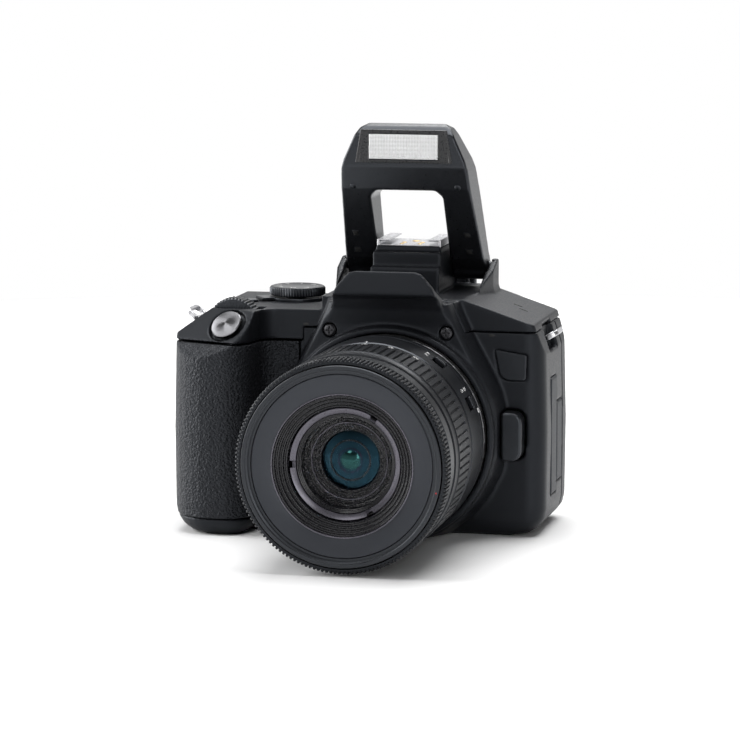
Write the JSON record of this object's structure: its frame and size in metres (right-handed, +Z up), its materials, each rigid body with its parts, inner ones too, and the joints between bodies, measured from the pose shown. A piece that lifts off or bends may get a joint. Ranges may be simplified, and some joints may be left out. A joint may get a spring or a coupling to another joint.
{
  "type": "single-lens reflex camera",
  "caption": "Compact digital single-lens reflex camera with a hand grip, zoom lens, raised hinged flash, swing-out rear screen and working buttons, dials and doors.",
  "frame": {"origin": "on the base plane, straight under the centre of the image sensor", "axes": "+X to the terminal side (right seen from the front), -Y out of the lens, +Z up"},
  "size_m": [0.1247, 0.1304, 0.1311],
  "materials": {
    "body_plastic": "finely grained moulded plastic",
    "rubber": "soft matte rubber",
    "steel": "stamped or turned steel",
    "glass": "coated optical glass",
    "mirror": "front-silvered",
    "inner_plastic": "plain inner moulding"
  },
  "bodies": {
    "body": {"badge_plate": "body_plastic", "battery": "inner_plastic", "body_mount_ring": "steel", "bottom_cover": "body_plastic", "eyecup": "rubber", "eyepiece_lens": "glass", "front_cover": "body_plastic", "front_screw_left": "steel", "front_screw_right": "steel", "grip_rubber": "rubber", "hot_shoe": "steel", "image_sensor": "inner_plastic", "lens_barrel": "body_plastic", "lens_bayonet": "body_plastic", "main_board": "inner_plastic", "mirror_box": "inner_plastic", "pentamirror": "inner_plastic", "rear_cover": "body_plastic", "rear_element": "glass", "shutter_unit": "inner_plastic", "strap_lug_left": "steel", "strap_lug_right": "steel", "top_cover": "body_plastic", "tripod_socket": "steel"},
    "shutter": {"shutter_button": "steel"},
    "main_dial": {"main_dial": "body_plastic"},
    "mode_dial": {"mode_dial": "body_plastic"},
    "power_switch": {"power_switch": "body_plastic"},
    "iso_button": {"iso_button": "body_plastic"},
    "flash": {"flash_housing": "body_plastic", "flash_window": "glass", "flash_tube": "steel"},
    "release": {"release_button": "body_plastic", "lock_pin": "steel"},
    "battery_door": {"battery_door": "body_plastic"},
    "battery_latch": {"battery_latch": "body_plastic"},
    "terminal_front": {"terminal_cover_front": "rubber"},
    "terminal_rear": {"terminal_cover_rear": "rubber"},
    "screen": {"screen_panel": "body_plastic", "screen_glass": "glass", "screen_hinge": "body_plastic"},
    "cross_keys": {"cross_keys": "body_plastic"},
    "set_button": {"set_button": "body_plastic"},
    "zoom": {"zoom_ring": "rubber"},
    "lens_front": {"inner_barrel": "body_plastic", "front_element": "glass", "iris_unit": "inner_plastic"},
    "focus": {"focus_ring": "rubber"},
    "focus_mode": {"focus_mode_switch": "body_plastic"},
    "stabiliser": {"stabiliser_switch": "body_plastic"},
    "mirror": {"reflex_mirror": "mirror"},
    "diopter": {"diopter_wheel": "body_plastic"},
    "menu_button": {"menu_button": "body_plastic"},
    "info_button": {"info_button": "body_plastic"},
    "live_view_button": {"live_view_button": "body_plastic"},
    "exposure_lock_button": {"exposure_lock_button": "body_plastic"},
    "focus_point_button": {"focus_point_button": "body_plastic"},
    "exposure_button": {"exposure_button": "body_plastic"},
    "playback_button": {"playback_button": "body_plastic"},
    "erase_button": {"erase_button": "body_plastic"}
  },
  "joints": [
    {"name": "shutter_press", "type": "slide", "parent": "body", "child": "shutter", "axis": [0.2515, 0.664, -0.7042], "range_m": [0, 0.0012], "stiffness_N_per_m": 300},
    {"name": "main_dial_turn", "type": "hinge", "parent": "body", "child": "main_dial", "pos_m": [-0.053, -0.0265, 0.0664], "axis": [0, 1, 0], "continuous": true},
    {"name": "mode_dial_turn", "type": "hinge", "parent": "body", "child": "mode_dial", "pos_m": [-0.0387, 0, 0.072], "axis": [0, 0, 1], "continuous": true},
    {"name": "power_turn", "type": "hinge", "parent": "body", "child": "power_switch", "pos_m": [-0.0387, 0, 0.072], "axis": [0, 0, 1], "range_deg": [-25, 25]},
    {"name": "iso_press", "type": "slide", "parent": "body", "child": "iso_button", "axis": [0, 0, -1], "range_m": [0, 0.0006], "stiffness_N_per_m": 300},
    {"name": "flash_lift", "type": "hinge", "parent": "body", "child": "flash", "pos_m": [0, 0.011, 0.083], "axis": [1, 0, 0], "range_deg": [0, 60], "stiffness_Nm_per_rad": 0.02, "springref_deg": -45.84},
    {"name": "release_press", "type": "slide", "parent": "body", "child": "release", "axis": [0, 1, 0], "range_m": [0, 0.002], "stiffness_N_per_m": 300},
    {"name": "battery_door_swing", "type": "hinge", "parent": "body", "child": "battery_door", "pos_m": [-0.0451, 0, 0.0012], "axis": [0, -1, 0], "range_deg": [0, 90]},
    {"name": "battery_latch_slide", "type": "slide", "parent": "battery_door", "child": "battery_latch", "axis": [1, 0, 0], "range_m": [0, 0.003]},
    {"name": "terminal_front_swing", "type": "hinge", "parent": "body", "child": "terminal_front", "pos_m": [0.0491, -0.015, 0.031], "axis": [0, 0, -1], "range_deg": [0, 100]},
    {"name": "terminal_rear_swing", "type": "hinge", "parent": "body", "child": "terminal_rear", "pos_m": [0.0491, -0.0046, 0.028], "axis": [0, 0, -1], "range_deg": [0, 100]},
    {"name": "screen_swing", "type": "hinge", "parent": "body", "child": "screen", "pos_m": [0.0445, 0.0188, 0.0332], "axis": [0, 0, -1], "range_deg": [0, 175]},
    {"name": "menu_press", "type": "slide", "parent": "body", "child": "menu_button", "axis": [0, -1, 0], "range_m": [0, 0.0006], "stiffness_N_per_m": 300},
    {"name": "info_press", "type": "slide", "parent": "body", "child": "info_button", "axis": [0, -1, 0], "range_m": [0, 0.0006], "stiffness_N_per_m": 300},
    {"name": "live_view_press", "type": "slide", "parent": "body", "child": "live_view_button", "axis": [0, -1, 0], "range_m": [0, 0.0006], "stiffness_N_per_m": 300},
    {"name": "exposure_lock_press", "type": "slide", "parent": "body", "child": "exposure_lock_button", "axis": [0, -1, 0], "range_m": [0, 0.0006], "stiffness_N_per_m": 300},
    {"name": "focus_point_press", "type": "slide", "parent": "body", "child": "focus_point_button", "axis": [0, -1, 0], "range_m": [0, 0.0006], "stiffness_N_per_m": 300},
    {"name": "exposure_press", "type": "slide", "parent": "body", "child": "exposure_button", "axis": [0, -1, 0], "range_m": [0, 0.0006], "stiffness_N_per_m": 300},
    {"name": "playback_press", "type": "slide", "parent": "body", "child": "playback_button", "axis": [0, -1, 0], "range_m": [0, 0.0006], "stiffness_N_per_m": 300},
    {"name": "erase_press", "type": "slide", "parent": "body", "child": "erase_button", "axis": [0, -1, 0], "range_m": [0, 0.0006], "stiffness_N_per_m": 300},
    {"name": "cross_keys_press", "type": "slide", "parent": "body", "child": "cross_keys", "axis": [0, -1, 0], "range_m": [0, 0.0005], "stiffness_N_per_m": 300},
    {"name": "set_press", "type": "slide", "parent": "body", "child": "set_button", "axis": [0, -1, 0], "range_m": [0, 0.0006], "stiffness_N_per_m": 300},
    {"name": "zoom_turn", "type": "hinge", "parent": "body", "child": "zoom", "pos_m": [0, -0.0784, 0.0339], "axis": [0, 1, 0], "range_deg": [0, 60.2]},
    {"name": "zoom_extend", "type": "slide", "parent": "body", "child": "lens_front", "axis": [0, -1, 0], "range_m": [0, 0.012]},
    {"name": "focus_turn", "type": "hinge", "parent": "lens_front", "child": "focus", "pos_m": [0, -0.1034, 0.0339], "axis": [0, 1, 0], "continuous": true},
    {"name": "focus_mode_slide", "type": "slide", "parent": "body", "child": "focus_mode", "axis": [0, -1, 0], "range_m": [0, 0.0034]},
    {"name": "stabiliser_slide", "type": "slide", "parent": "body", "child": "stabiliser", "axis": [0, -1, 0], "range_m": [0, 0.0034]},
    {"name": "mirror_flip", "type": "hinge", "parent": "body", "child": "mirror", "pos_m": [0, -0.0105, 0.0471], "axis": [-1, 0, 0], "range_deg": [0, 43]},
    {"name": "diopter_turn", "type": "hinge", "parent": "body", "child": "diopter", "pos_m": [-0.02, 0.018, 0.072], "axis": [0, 1, 0], "range_deg": [-120, 120]}
  ],
  "couplings": [
    {"joint": "zoom_turn", "follows": "zoom_extend", "rad_per_m": 87.266}
  ]
}
